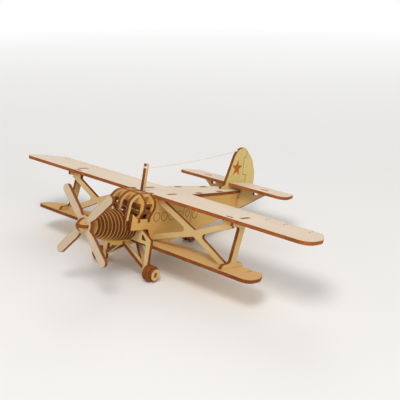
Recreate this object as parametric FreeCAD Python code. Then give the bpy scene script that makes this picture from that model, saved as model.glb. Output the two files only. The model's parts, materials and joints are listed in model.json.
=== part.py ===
import FreeCAD, Part
import math
import os

# Biplane display model built from laser-cut plywood plates that slot together.
# The aircraft is laid out level: +Y runs aft from the front of the propeller,
# +X is the port side and Z = 0 is the propeller axis.  The finished model is
# then tipped onto its three wheels, nose up, with the ground at Z = 0.
# All sizes are in millimetres and degrees.

# ---- material and fits ----
PLY = 2.5                     # thickness of the sheet that every plate is cut from
SLOT_PLAY = 0.05              # gap on each side of a tab in its slot
RUN_PLAY = 0.08               # radial gap between a turning piece and its axle
END_PLAY = 0.30               # gap at each end of a turning piece

# ---- fuselage ----
BODY_HALF = 13.0              # half width over the side plates, nose to cabin
TAIL_HALF = 4.4               # half width over the side plates at the tail post
NOSE_Y = 34.0                 # front edge of the side plates
CHEEK_Z = -3.2                # underside of the side plates ahead of the cabin
CHEEK_END_Y = 52.2            # where the cheek turns down to the belly
CHEEK_SLOPE = 7.0             # how far aft the front edge runs on its way down
SILL_Z = 5.0                  # lowest part of the cockpit cut-out
CABIN_Y = 55.2                # where the side plates reach full height
KEEL_Z = -14.8                # bottom of the side plates under the cabin
TAPER_Y = 82.0                # where the plan of the fuselage starts to narrow
TAIL_Y = 176.0                # rear end of the side plates
TAIL_BOTTOM_Z = 5.5           # bottom of the side plates at the tail
ROOF_Z = 20.0                 # top edge of the side plates, underside of wing and deck
DECK_LIP = 1.6                # how far the deck stands out past the side plates

# ---- wings ----
WING_SPAN = 287.0
WING_Y = 56.0                 # leading edge of the upper wing
WING_CHORD = 38.8
LOWER_SPAN = 220.0
LOWER_Y = 48.3                # leading edge of the lower wing
LOWER_CHORD = 26.0
LOWER_TOP_Z = -12.3           # top face of the lower wing

# ---- wing bracing ----
STRUT_X = 84.0                # middle of each outboard strut plate
STRUT_WEB = 6.0               # width of the strut between its flared ends
STRUT_LEAN = 4.2              # how far aft the top of the strut stands
TRUSS_Y = 59.0                # front face of the spanwise truss plates
TRUSS_ARM = 4.4               # width of each arm
TRUSS_KNOT_X = 51.0           # where the four arms meet
TRUSS_KNOT_Z = 3.4

# ---- engine and propeller ----
RING_COUNT = 12
RING_Y = 5.4                  # front face of the first cowl ring
RING_PITCH = 3.1
RING_FRONT = 8.6              # radius of the first ring
RING_BACK = 11.8              # radius of the rings at the front of the fuselage and behind it
RING_SINK = 1.6               # how far the centre of the last rings lies below the propeller axis
RING_SWELL = 1.5              # how quickly the rings grow at the front; 1 makes a straight cone
SHAFT_R = 1.5
COLLAR_R = 3.2
HUB_R = 7.0
BLADE_R = 34.0                # propeller tip radius
BLADE_W = 6.4
BLADE_COUNT = 4
BLADE_REST = 47.0             # angle of the first blade above the port horizontal
SPINNER_REACH = 6.0
SPINNER_R = 5.0

# ---- landing gear ----
GEAR_Y = 45.6                 # front face of the gear frame
LEG_IN = 19.2                 # inner edge of each leg
LEG_OUT = 23.6                # outer edge of each leg
SHOULDER_Z = -8.6             # where the slanted shoulder meets the leg
AXLE_Z = -32.3                # height of the main axle
STUB_H = 3.2                  # height of the rectangular axle stub
WHEEL_R = 6.0
RETAINER_R = 4.3
KEEL_RAIL_Z = -17.2           # bottom of the keel plate where the braces meet it
KEEL_RAIL_Y = 32.2            # where the bottom of the keel plate levels out
BRACE_W = 3.6                 # width of each brace arm
BRACE_FRONT_Y = 41.8          # where the front arm reaches the keel
BRACE_REAR_Y = 56.2           # where the rear arm reaches the keel
TAIL_WHEEL_Y = 117.0          # front face of the tail leg plate
TAIL_AXLE_Z = -16.6
TAIL_WHEEL_R = 3.8
TAIL_LEG_HALF = 1.7           # half width of the tail leg

# ---- canopy ----
CANOPY_Y = 40.2               # front face of the first canopy frame
CANOPY_STEP = 10.4            # distance to the second frame
CANOPY_BULGE = 16.8           # half width at the widest point
CANOPY_TOP_Z = 23.4
CANOPY_FOOT_Z = 2.3
RIB_X = 9.3                   # distance of the outer windscreen ribs from the centre
RIB_WIDTH = 2.6               # width of the curved windscreen ribs
RIB_SEAT = 2.0                # least depth of the notches that hold the feet of the ribs

# ---- tail ----
FIN_AHEAD = 26.2              # how far the foot of the fin reaches ahead of the tail end
FIN_TOP_Z = 58.2
RUDDER_BEHIND = 20.2          # how far the rudder reaches behind the tail end
STAB_SPAN = 112.0
STAB_AHEAD = 16.5             # leading edge of the stabiliser ahead of the tail end
STAB_CHORD = 25.5
STAB_TOP_Z = 27.9
BRACE_AHEAD = 6.5             # front face of the tail brace plate ahead of the tail end

# ---- aerial ----
MAST_GAP = 0.2                # between the rear canopy frame and the mast
MAST_W = 2.65                 # width of the mast from front to back
MAST_TOP_Z = 43.4
THREAD_DROP = 3.1             # from the top of the mast to the knot of the thread
THREAD_D = 0.9
THREAD_SAG = 1.7              # how far the middle of the thread hangs below a straight line
THREAD_RUNS = 8
THREAD_END_RUN = 0.88         # length of the first and last run against the others

HALF = PLY / 2
V = FreeCAD.Vector


# ---------------------------------------------------------------- helpers
def to_yz(a, b, c):
    """Sheet drawn in side view: a aft, b up, c to port."""
    return V(c, a, b)


def to_xz(a, b, c):
    """Sheet drawn in front view: a to port, b up, c aft."""
    return V(a, c, b)


def to_xy(a, b, c):
    """Sheet drawn in plan: a to port, b aft, c up."""
    return V(a, b, c)


def rounded_wire(points, view, level):
    """Closed outline through points (a, b) or (a, b, radius of that corner)."""
    count = len(points)
    corners = []
    for i, point in enumerate(points):
        here = V(point[0], point[1], 0)
        radius = point[2] if len(point) > 2 else 0
        if radius <= 0:
            corners.append((here, None, here))
            continue
        before = V(*points[i - 1][:2], 0).sub(here)
        after = V(*points[(i + 1) % count][:2], 0).sub(here)
        turn = before.getAngle(after)
        back = radius / math.tan(turn / 2)
        before.normalize()
        after.normalize()
        start = here.add(before * back)
        end = here.add(after * back)
        inward = before.add(after)
        inward.normalize()
        reach = radius / math.sin(turn / 2) - radius
        corners.append((start, here.add(inward * reach), end))
    edges = []
    for i, (start, middle, end) in enumerate(corners):
        if middle is not None:
            edges.append(Part.Arc(*[view(p.x, p.y, level) for p in (start, middle, end)]).toShape())
        following = corners[(i + 1) % count][0]
        if end.distanceToPoint(following) > 1e-6:
            edges.append(Part.LineSegment(view(end.x, end.y, level),
                                          view(following.x, following.y, level)).toShape())
    return Part.Wire(Part.__sortEdges__(edges))


def sheet(points, view, level, thickness=PLY):
    """Plate cut to an outline, from one face at `level` to the other."""
    face = Part.Face(rounded_wire(points, view, level))
    return face.extrude(view(0, 0, thickness))


def mirrored(points):
    """Full outline from its port half, which starts and ends on the centre line."""
    left = [(-p[0],) + tuple(p[1:]) for p in reversed(points) if abs(p[0]) > 1e-9]
    return list(points) + left


def disc(radius, centre, direction, thickness=PLY):
    return Part.makeCylinder(radius, thickness, centre, direction)


def block(x0, x1, y0, y1, z0, z1):
    """Box between two corners, in whatever order they are given."""
    lo = V(min(x0, x1), min(y0, y1), min(z0, z1))
    return Part.makeBox(abs(x1 - x0), abs(y1 - y0), abs(z1 - z0), lo)


def slot(x0, x1, y0, y1, z0, z1, axes="xyz"):
    """Box opened out by the slot play along the axes that are named."""
    play = {axis: SLOT_PLAY if axis in axes else 0 for axis in "xyz"}
    return block(min(x0, x1) - play["x"], max(x0, x1) + play["x"],
                 min(y0, y1) - play["y"], max(y0, y1) + play["y"],
                 min(z0, z1) - play["z"], max(z0, z1) + play["z"])


def flip(shape):
    """The same piece for the starboard side."""
    return shape.mirror(V(0, 0, 0), V(1, 0, 0))


# ---------------------------------------------------------------- shared places
LOWER_BOTTOM_Z = LOWER_TOP_Z - PLY
WING_TOP_Z = ROOF_Z + PLY
WING_TAIL_Y = WING_Y + WING_CHORD
LOWER_TAIL_Y = LOWER_Y + LOWER_CHORD
STAB_BOTTOM_Z = STAB_TOP_Z - PLY
FIN_BASE_Y = TAIL_Y - FIN_AHEAD
RUDDER_Y = TAIL_Y + RUDDER_BEHIND
STAB_Y = TAIL_Y - STAB_AHEAD
BRACE_Y = TAIL_Y - BRACE_AHEAD
BODY_IN = BODY_HALF - PLY
RING_YS = [RING_Y + RING_PITCH * k for k in range(RING_COUNT)]
RIB_RING = sum(y + PLY <= NOSE_Y for y in RING_YS) - 1    # last ring ahead of the side plates
CANOPY_YS = [CANOPY_Y, CANOPY_Y + CANOPY_STEP]
MAST_Y = CANOPY_YS[1] + PLY + MAST_GAP
FORMER_YS = [68.0, 90.0, TAIL_Y - 28.0]       # front faces of the plain formers
SIDE_TABS = [(70.0, 80.0), (104.0, 112.0), (TAIL_Y - 42.0, TAIL_Y - 34.0)]
STRUT_TAB = (65.0, 76.0)
STRUT_FOOT_TAB = (56.0, 68.0)
TRUSS_TAB = (75.5, 81.0)
FIN_TABS = [(FIN_BASE_Y + 2.5, FIN_BASE_Y + 9.0), (TAIL_Y - 13.0, TAIL_Y - 2.0)]
BRACE_TAB = (27.0, 34.0)
SHELF_ZS = [8.9, 14.2]         # undersides of the two canopy shelves
SHELF_HALF = 13.4              # half width of the shelves and of the opening in the frames
STAB_LAP_Y = STAB_Y + STAB_CHORD / 2 - 0.6    # where the notches of fin and stabiliser meet
BRACE_LOW_Z = 7.2             # bottom and top of the tail brace inside the fuselage
BRACE_HIGH_Z = 15.5
KEEL_COMB_Z = -5.6            # where the notches of keel and rings meet
RIB_LAP_Z = CANOPY_TOP_Z - RIB_WIDTH / 2      # the same between the ribs and the canopy frames
RIB_XS = {"starboard": -RIB_X, "centre": 0.0, "port": RIB_X}
GEAR_COMB_Z = -9.0            # the same between the keel and the gear frame
SPINNER_TAB = 3.4             # half length of the slots that hold the spinner
SPINNER_LAP_Y = -3.0          # where the two spinner plates interlock
SHAFT_END_Y = RING_YS[0] + PLY + END_PLAY + PLY
AXLE_Y = GEAR_Y + HALF
TAIL_AXLE_Y = TAIL_WHEEL_Y + HALF
WHEEL_X = LEG_OUT + END_PLAY                  # inner face of a main wheel
RETAINER_X = WHEEL_X + 2 * PLY + END_PLAY
STUB_END_X = RETAINER_X + PLY + 0.2
SWEEP_R = ((BODY_HALF - TAIL_HALF) ** 2 + (TAIL_Y - TAPER_Y) ** 2) / (2 * (BODY_HALF - TAIL_HALF))


def body_half(y):
    """Outer half width of the fuselage at a station."""
    if y <= TAPER_Y:
        return BODY_HALF
    return BODY_HALF - SWEEP_R + math.sqrt(SWEEP_R ** 2 - (y - TAPER_Y) ** 2)


def belly_z(y):
    """Height of the bottom edge of the side plates."""
    share = (y - LOWER_TAIL_Y) / (TAIL_Y - LOWER_TAIL_Y)
    return KEEL_Z + (TAIL_BOTTOM_Z - KEEL_Z) * max(share, 0)


# ---------------------------------------------------------------- fuselage
def plan_strip(outset, low, high):
    """Space inside the plan of the fuselage, its sides moved out by `outset`."""
    straight = block(-BODY_HALF - outset, BODY_HALF + outset, NOSE_Y - PLY, TAPER_Y, low, high)
    centre = SWEEP_R - BODY_HALF
    port = Part.makeCylinder(SWEEP_R + outset, high - low, V(-centre, TAPER_Y, low))
    aft = block(-BODY_HALF * 2, BODY_HALF * 2, TAPER_Y, TAIL_Y + PLY * 2, low, high)
    return straight.fuse(aft.common(port).common(flip(port))).removeSplitter()


def side_plate():
    """Port side of the fuselage: cheek, cockpit sill, cabin and tapering tail."""
    profile = [
        (NOSE_Y, CHEEK_Z), (CHEEK_END_Y, CHEEK_Z, 1.5), (CHEEK_END_Y + CHEEK_SLOPE, KEEL_Z, 1.0),
        (LOWER_TAIL_Y, KEEL_Z, 6.0), (TAIL_Y, TAIL_BOTTOM_Z, 1.0), (TAIL_Y, ROOF_Z),
        (CABIN_Y, ROOF_Z), (CABIN_Y, SILL_Z + 5.5, 3.0), (CABIN_Y - 3.6, SILL_Z, 2.0),
        (CANOPY_Y, SILL_Z, 2.0), (NOSE_Y, SILL_Z + 4.2),
    ]
    plate = sheet(profile, to_yz, 0, BODY_HALF + PLY)
    for start, end in SIDE_TABS:
        plate = plate.fuse(block(0, BODY_HALF + PLY, start, end, ROOF_Z, WING_TOP_Z))
    shell = plan_strip(0, -30, 40).cut(plan_strip(-PLY, -30, 40))
    plate = plate.common(shell).common(block(0, BODY_HALF + PLY, 0, TAIL_Y, -30, 40))
    for y in CANOPY_YS:
        plate = plate.cut(slot(0, BODY_HALF + PLY, y, y + PLY, CANOPY_FOOT_Z, ROOF_Z * 2, "y"))
    plate = plate.cut(slot(0, BODY_HALF + PLY, LOWER_Y, LOWER_TAIL_Y,
                           LOWER_BOTTOM_Z, LOWER_TOP_Z, "yz"))
    return plate.removeSplitter()


def former(y, leg=False):
    """Upright cross plate glued between the side plates, with a window in it."""
    inner = min(body_half(y), body_half(y + PLY)) - PLY - SLOT_PLAY
    low = belly_z(y + PLY) + PLY + SLOT_PLAY
    if LOWER_Y < y < LOWER_TAIL_Y:
        low = LOWER_TOP_Z
    half = [(0, low), (inner, low), (inner, ROOF_Z), (0, ROOF_Z)]
    plate = sheet(mirrored(half), to_xz, y)
    window = min(inner - 2.5, 6.5)
    opening = [(-window, low + 3, 1.5), (window, low + 3, 1.5), (window, ROOF_Z - 3, 1.5),
               (-window, ROOF_Z - 3, 1.5)]
    plate = plate.cut(sheet(opening, to_xz, y - 1, PLY + 2))
    if leg:
        plate = plate.fuse(tail_leg(y, low + 3))
    return plate.removeSplitter()


def tail_leg(y, top):
    """Leg of the tail wheel with its cross stub, cut in one with a former."""
    bottom = TAIL_AXLE_Z - PLY / 2
    reach = TAIL_LEG_HALF + END_PLAY + PLY + END_PLAY
    half = [(0, bottom), (reach, bottom), (reach, bottom + PLY), (TAIL_LEG_HALF, bottom + PLY, 0.6),
            (TAIL_LEG_HALF, belly_z(y) - 1.5, 1.5), (TAIL_LEG_HALF + 3, belly_z(y) + 3),
            (TAIL_LEG_HALF + 3, top), (0, top)]
    return sheet(mirrored(half), to_xz, y)


def top_deck():
    """Flat roof from the trailing edge of the upper wing to the fin."""
    start = WING_TAIL_Y + SLOT_PLAY
    deck = plan_strip(DECK_LIP, ROOF_Z, WING_TOP_Z)
    deck = deck.common(block(-BODY_HALF * 2, BODY_HALF * 2, start, TAIL_Y + PLY, ROOF_Z, WING_TOP_Z))
    for first, last in SIDE_TABS[1:]:
        inner = body_half(last) - PLY
        for side in (-1, 1):
            deck = deck.cut(slot(side * inner, side * body_half(first), first, last,
                                 ROOF_Z, WING_TOP_Z, "xy"))
    for first, last in FIN_TABS:
        deck = deck.cut(slot(-HALF, HALF, first, last, ROOF_Z, WING_TOP_Z, "xy"))
    return deck


def belly_plate():
    """Floor between the side plates, rising from the lower wing to the tail."""
    start = LOWER_TAIL_Y + 3.0
    end = BRACE_Y - SLOT_PLAY
    profile = [(start, belly_z(start)), (end, belly_z(end)), (end, belly_z(end) + PLY),
               (start, belly_z(start) + PLY)]
    floor = sheet(profile, to_yz, -BODY_HALF, BODY_HALF * 2)
    floor = floor.common(plan_strip(-PLY - SLOT_PLAY, -30, 40))
    y = TAIL_WHEEL_Y
    return floor.cut(slot(-TAIL_LEG_HALF - 3, TAIL_LEG_HALF + 3, y, y + PLY, -30, 0, "xy"))


# ---------------------------------------------------------------- engine
def ring_shape(k):
    """Radius of a cowl ring and height of its centre."""
    share = 1 - (1 - min(k / RIB_RING, 1)) ** RING_SWELL
    return RING_FRONT + (RING_BACK - RING_FRONT) * share, -RING_SINK * share


def cowl_ring(k):
    """One round plate of the engine cowl, slotted from below over the keel."""
    radius, centre = ring_shape(k)
    y = RING_YS[k]
    ring = disc(radius, V(0, y, centre), V(0, 1, 0))
    ring = ring.cut(slot(-HALF, HALF, y, y + PLY, centre - radius - 1, KEEL_COMB_Z, "xz"))
    if k < 2:
        bore = COLLAR_R + END_PLAY if k else SHAFT_R + RUN_PLAY
        ring = ring.cut(Part.makeCylinder(bore, PLY + 2, V(0, y - 1, 0), V(0, 1, 0)))
    if k == RIB_RING:
        for x in RIB_XS.values():
            ring = ring.cut(slot(x - HALF, x + HALF, y, y + PLY, rib_foot_z(x), RING_BACK, "x"))
    if k > RIB_RING:
        ring = ring.common(ring_room(y))
    return ring


def ring_room(y):
    """Space for a ring at the fuselage: between the side plates and below their cheeks."""
    inside = BODY_IN - SLOT_PLAY
    between = block(-inside, inside, y, y + PLY, CHEEK_Z - PLY, CANOPY_FOOT_Z - 0.8)
    below = block(-BODY_HALF, BODY_HALF, y, y + PLY, -RING_BACK * 2, CHEEK_Z - SLOT_PLAY)
    return between.fuse(below)


def rib_foot_z(x):
    """Height of the notch in the rim of the last open ring that takes the rib at `x`."""
    radius, centre = ring_shape(RIB_RING)
    rim = centre + math.sqrt(radius ** 2 - (abs(x) + HALF + SLOT_PLAY) ** 2)
    return min(rim, centre + radius - RIB_SEAT)


def engine_keel():
    """Upright plate on the centre line that carries the rings and the braces."""
    front = RING_YS[0] - 0.4
    collar_clear = -COLLAR_R - END_PLAY - 0.6
    rear = LOWER_TAIL_Y - 10.0
    step = RING_YS[2] - 0.4
    gear_back = GEAR_Y + PLY + 2.0
    profile = [
        (front, -RING_FRONT + 1.2), (KEEL_RAIL_Y - 10.0, KEEL_RAIL_Z + 3.6, 2.0),
        (KEEL_RAIL_Y, KEEL_RAIL_Z, 2.0),
        (rear, KEEL_RAIL_Z, 2.0), (rear, LOWER_TOP_Z), (gear_back, LOWER_TOP_Z),
        (gear_back, GEAR_COMB_Z + 3.0), (GEAR_Y - 3.0, GEAR_COMB_Z + 3.0), (GEAR_Y - 3.0, -1.0),
        (step, -1.0), (step, collar_clear), (front, collar_clear),
    ]
    keel = sheet(profile, to_yz, -HALF)
    for y in RING_YS:
        keel = keel.cut(slot(-HALF, HALF, y, y + PLY, KEEL_COMB_Z, 0, "y"))
    return keel.cut(slot(-HALF, HALF, GEAR_Y, GEAR_Y + PLY, GEAR_COMB_Z, 0, "y"))


def propeller():
    """Four flat blades with round tips, cut from one sheet."""
    plate = None
    for k in range(BLADE_COUNT):
        root = BLADE_W * 0.36
        half = BLADE_W / 2
        blade = [(0, -root), (HUB_R, -root, 6.0), (HUB_R + 5, -half, 6.0), (BLADE_R, -half, half - 0.1),
                 (BLADE_R, half, half - 0.1), (HUB_R + 5, half, 6.0), (HUB_R, root, 6.0), (0, root)]
        solid = sheet(blade, to_xz, 0)
        solid.rotate(V(0, 0, 0), V(0, -1, 0), BLADE_REST + 360.0 / BLADE_COUNT * k)
        plate = solid if plate is None else plate.fuse(solid)
    plate = plate.fuse(disc(HUB_R, V(0, 0, 0), V(0, 1, 0)))
    for cross in spinner_tabs():
        plate = plate.cut(cross)
    return plate.removeSplitter()


def spinner_tabs():
    """The cross-shaped slot in the propeller that takes the two spinner plates."""
    return [slot(-HALF, HALF, 0, PLY, -SPINNER_TAB, SPINNER_TAB, "xz"),
            slot(-SPINNER_TAB, SPINNER_TAB, 0, PLY, -HALF, HALF, "xz")]


def spinner_vertical():
    """Upright half oval of the spinner, notched from the front."""
    shape = spinner_profile(to_yz)
    lap = slot(-HALF, HALF, -SPINNER_REACH - 1, SPINNER_LAP_Y, -HALF, HALF, "z")
    return shape.cut(lap)


def spinner_horizontal():
    """Flat half oval of the spinner, notched from the back."""
    shape = spinner_profile(lambda a, b, c: V(b, a, c))
    lap = slot(-HALF, HALF, SPINNER_LAP_Y, PLY + 1, -HALF, HALF, "x")
    return shape.cut(lap)


def spinner_profile(view):
    """Half oval in front of the propeller with its tab through the blades."""
    oval = Part.makeCylinder(SPINNER_R, PLY)
    stretch = FreeCAD.Matrix()
    stretch.scale(SPINNER_REACH / SPINNER_R, 1, 1)
    oval = oval.transformGeometry(stretch)
    front = oval.common(Part.makeBox(SPINNER_REACH, SPINNER_R * 2, PLY, V(-SPINNER_REACH, -SPINNER_R, 0)))
    tab = Part.makeBox(PLY, SPINNER_TAB * 2, PLY, V(0, -SPINNER_TAB, 0))
    shape = front.fuse(tab).removeSplitter()
    along = view(1, 0, 0)
    across = view(0, 1, 0)
    through = view(0, 0, 1)
    frame = FreeCAD.Matrix(along.x, across.x, through.x, 0, along.y, across.y, through.y, 0,
                           along.z, across.z, through.z, 0, 0, 0, 0, 1)
    shape = shape.transformGeometry(frame)
    return shape.translated(through * -HALF)


def hub_spacer():
    """Disc between the propeller and the first ring."""
    spacer = disc(HUB_R * 0.6, V(0, PLY, 0), V(0, 1, 0))
    return spacer.cut(disc(SHAFT_R + SLOT_PLAY, V(0, PLY, 0), V(0, 1, 0)))


def propeller_shaft():
    """Dowel that carries the propeller in the first ring."""
    return Part.makeCylinder(SHAFT_R, SHAFT_END_Y - PLY, V(0, PLY, 0), V(0, 1, 0))


def shaft_collar():
    """Disc behind the first ring that holds the shaft in."""
    start = V(0, SHAFT_END_Y - PLY, 0)
    return disc(COLLAR_R, start, V(0, 1, 0)).cut(disc(SHAFT_R + SLOT_PLAY, start, V(0, 1, 0)))


# ---------------------------------------------------------------- canopy
def canopy_frame(y):
    """Bulged arch over the cockpit, open below its deep brow."""
    outer = [(0, CANOPY_TOP_Z), (CANOPY_BULGE - 5.9, CANOPY_TOP_Z, 5.0),
             (CANOPY_BULGE, CANOPY_TOP_Z - 4.8, 4.0), (CANOPY_BULGE, CANOPY_TOP_Z - 10.6, 7.0),
             (BODY_HALF, CANOPY_FOOT_Z + 3.2, 4.0), (BODY_HALF, CANOPY_FOOT_Z),
             (BODY_IN, CANOPY_FOOT_Z), (BODY_IN, SILL_Z + 1.0, 2.0),
             (SHELF_HALF, SHELF_ZS[0] + 1.0, 3.0), (SHELF_HALF, SHELF_ZS[1] + PLY, 2.0),
             (0, SHELF_ZS[1] + PLY)]
    frame = sheet(mirrored(outer), to_xz, y)
    for z in SHELF_ZS:
        frame = frame.cut(slot(-SHELF_HALF, SHELF_HALF, y, y + PLY, z, z + PLY, "xz"))
    for x in RIB_XS.values():
        frame = frame.cut(slot(x - HALF, x + HALF, y, y + PLY, RIB_LAP_Z, CANOPY_TOP_Z + 1, "x"))
    return frame


def canopy_shelf(z, last_y):
    """Flat plate that runs through both canopy frames and locks between them."""
    first = CANOPY_YS[0] - 1.5
    shoulder = CANOPY_YS[1] + PLY + 0.2
    tongue = BODY_IN - 0.5
    half = [(0, first), (SHELF_HALF, first, 1.0), (SHELF_HALF, shoulder), (tongue, shoulder),
            (tongue, last_y), (0, last_y)]
    plate = sheet(mirrored(half), to_xy, z)
    wide = CANOPY_BULGE - 1.8
    between = block(-wide, wide, CANOPY_YS[0] + PLY + SLOT_PLAY, CANOPY_YS[1] - SLOT_PLAY, z, z + PLY)
    mast_hole = slot(-HALF, HALF, MAST_Y, MAST_Y + MAST_W, z, z + PLY, "xy")
    return plate.fuse(between).cut(mast_hole).removeSplitter()


def windscreen_rib(x):
    """Curved strip from the cowl up over both canopy frames to the upper wing."""
    end = (WING_Y if x else MAST_Y) - SLOT_PLAY
    foot = RING_YS[RIB_RING]
    low = rib_foot_z(x)
    top = CANOPY_TOP_Z
    outline = [(foot, low), (foot + 1.5, top - 5.4, 6.0), (foot + 7.3, top - 0.2, 10.0), (end, top),
               (end, top - RIB_WIDTH), (foot + 8.3, top - 0.1 - RIB_WIDTH, 8.0),
               (foot + 4.0, top - 6.5, 4.0), (foot + PLY, low)]
    rib = sheet(outline, to_yz, x - HALF)
    for y in CANOPY_YS:
        rib = rib.cut(slot(x - HALF, x + HALF, y, y + PLY, RIB_LAP_Z - RIB_WIDTH, RIB_LAP_Z, "y"))
    return rib


# ---------------------------------------------------------------- wings
def upper_wing():
    half = WING_SPAN / 2
    outline = [(0, WING_Y), (half, WING_Y, 8.0), (half, WING_Y + 20.0, 24.0),
               (half - 11.0, WING_TAIL_Y, 10.0), (0, WING_TAIL_Y)]
    wing = sheet(mirrored(outline), to_xy, ROOF_Z)
    for side in (-1, 1):
        wing = wing.cut(slot(side * (STRUT_X - HALF), side * (STRUT_X + HALF), *STRUT_TAB,
                             ROOF_Z, WING_TOP_Z, "xy"))
        wing = wing.cut(slot(side * BODY_IN, side * BODY_HALF, *SIDE_TABS[0], ROOF_Z, WING_TOP_Z, "xy"))
        wing = wing.cut(slot(side * TRUSS_TAB[0], side * TRUSS_TAB[1], TRUSS_Y, TRUSS_Y + PLY,
                             ROOF_Z, WING_TOP_Z, "xy"))
    return wing


def lower_wing():
    half = LOWER_SPAN / 2
    outline = [(0, LOWER_Y), (half, LOWER_Y, 6.0), (half, LOWER_Y + 14.0, 16.0),
               (half - 6.0, LOWER_TAIL_Y, 6.0), (0, LOWER_TAIL_Y)]
    wing = sheet(mirrored(outline), to_xy, LOWER_BOTTOM_Z)
    for side in (-1, 1):
        wing = wing.cut(slot(side * (STRUT_X - HALF), side * (STRUT_X + HALF), *STRUT_FOOT_TAB,
                             LOWER_BOTTOM_Z, LOWER_TOP_Z, "xy"))
    return wing.cut(slot(-HALF, HALF, LOWER_Y - 1, LOWER_TAIL_Y - 10.0, LOWER_BOTTOM_Z, LOWER_TOP_Z, "xy"))


def wing_strut():
    """Port outboard strut: an upright web with a flange under the upper wing and a foot."""
    foot_front = STRUT_FOOT_TAB[0] + 4.4
    foot_rear = foot_front + STRUT_WEB
    top_front = foot_front + STRUT_LEAN
    top_rear = top_front + STRUT_WEB
    profile = [
        (WING_Y, ROOF_Z), (WING_Y, ROOF_Z - 2.6, 1.0), (top_front, ROOF_Z - 3.4, 2.4),
        (foot_front, LOWER_TOP_Z + 3.4, 3.0), (LOWER_Y + 4.0, LOWER_TOP_Z + 3.0, 2.2),
        (LOWER_Y + 2.2, LOWER_TOP_Z), (STRUT_TAB[1], LOWER_TOP_Z),
        (STRUT_TAB[1] - 2.2, LOWER_TOP_Z + 2.8, 1.6), (foot_rear, LOWER_TOP_Z + 4.0, 2.4),
        (top_rear, ROOF_Z - 3.4, 2.4), (STRUT_TAB[1] + 1.0, ROOF_Z - 2.6, 1.0), (STRUT_TAB[1] + 1.0, ROOF_Z),
    ]
    left = STRUT_X - HALF
    strut = sheet(profile, to_yz, left)
    strut = strut.fuse(block(left, left + PLY, *STRUT_TAB, ROOF_Z, WING_TOP_Z))
    strut = strut.fuse(block(left, left + PLY, *STRUT_FOOT_TAB, LOWER_BOTTOM_Z, LOWER_TOP_Z))
    return strut.removeSplitter()


def crossing(origin_a, along_a, origin_b, along_b):
    """Point where two lines in the plane meet."""
    det = along_a.x * along_b.y - along_a.y * along_b.x
    gap = origin_b.sub(origin_a)
    share = (gap.x * along_b.y - gap.y * along_b.x) / det
    return origin_a.add(along_a * share)


def wing_truss():
    """Port spanwise truss: four arms that cross between the fuselage and the strut."""
    knot = V(TRUSS_KNOT_X, TRUSS_KNOT_Z, 0)
    inboard = BODY_HALF + SLOT_PLAY
    outboard = STRUT_X - HALF - SLOT_PLAY
    ends = [V(outboard, ROOF_Z - 2.0, 0), V(inboard + 4.0, ROOF_Z - 2.4, 0),
            V(inboard, LOWER_TOP_Z + 3.1, 0), V(outboard - 2.0, LOWER_TOP_Z + 0.6, 0)]
    arms = []
    for end in ends:
        along = end.sub(knot)
        along.normalize()
        arms.append((along, V(-along.y, along.x, 0) * (TRUSS_ARM / 2)))
    outline = []
    for i, (along, left) in enumerate(arms):
        following, next_left = arms[(i + 1) % len(arms)]
        far = knot.add(along * 60)
        corner = crossing(knot.add(left), along, knot.sub(next_left), following)
        outline += [(far.x - left.x, far.y - left.y), (far.x + left.x, far.y + left.y),
                    (corner.x, corner.y, 2.0)]
    truss = sheet(outline, to_xz, TRUSS_Y)
    pad = [(TRUSS_TAB[0] - 2.0, ROOF_Z), (TRUSS_TAB[0] - 2.0, ROOF_Z - 4.0), (outboard, ROOF_Z - 4.0),
           (outboard, ROOF_Z)]
    truss = truss.fuse(sheet(pad, to_xz, TRUSS_Y))
    truss = truss.common(block(inboard, outboard, TRUSS_Y, TRUSS_Y + PLY, LOWER_TOP_Z, ROOF_Z))
    return truss.fuse(block(*TRUSS_TAB, TRUSS_Y, TRUSS_Y + PLY, ROOF_Z, WING_TOP_Z)).removeSplitter()


# ---------------------------------------------------------------- landing gear
def gear_frame():
    """Cross plate with both legs and the rectangular stubs that carry the wheels."""
    inside = BODY_IN - SLOT_PLAY
    beam = LOWER_TOP_Z - 0.5
    stub_low = AXLE_Z - STUB_H / 2
    half = [(0, CANOPY_FOOT_Z), (inside, CANOPY_FOOT_Z), (inside, CHEEK_Z - SLOT_PLAY),
            (BODY_HALF + 0.8, CHEEK_Z - SLOT_PLAY), (LEG_OUT, SHOULDER_Z, 1.2),
            (LEG_OUT, stub_low + STUB_H), (STUB_END_X, stub_low + STUB_H), (STUB_END_X, stub_low),
            (LEG_OUT, stub_low), (LEG_OUT, stub_low - 1.0, 0.8), (LEG_IN, stub_low - 1.0, 0.8),
            (LEG_IN, beam, 1.2), (0, beam)]
    frame = sheet(mirrored(half), to_xz, GEAR_Y)
    window = [(BODY_HALF + 1.4, SHOULDER_Z + 3.0, 0.5), (LEG_IN, SHOULDER_Z - 1.6, 0.5),
              (BODY_HALF + 1.4, SHOULDER_Z - 1.6, 0.5)]
    port_hole = sheet(window, to_xz, GEAR_Y - 1, PLY + 2)
    frame = frame.cut(port_hole).cut(flip(port_hole))
    return frame.cut(slot(-HALF, HALF, GEAR_Y, GEAR_Y + PLY, beam - 1, GEAR_COMB_Z, "xz"))


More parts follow.
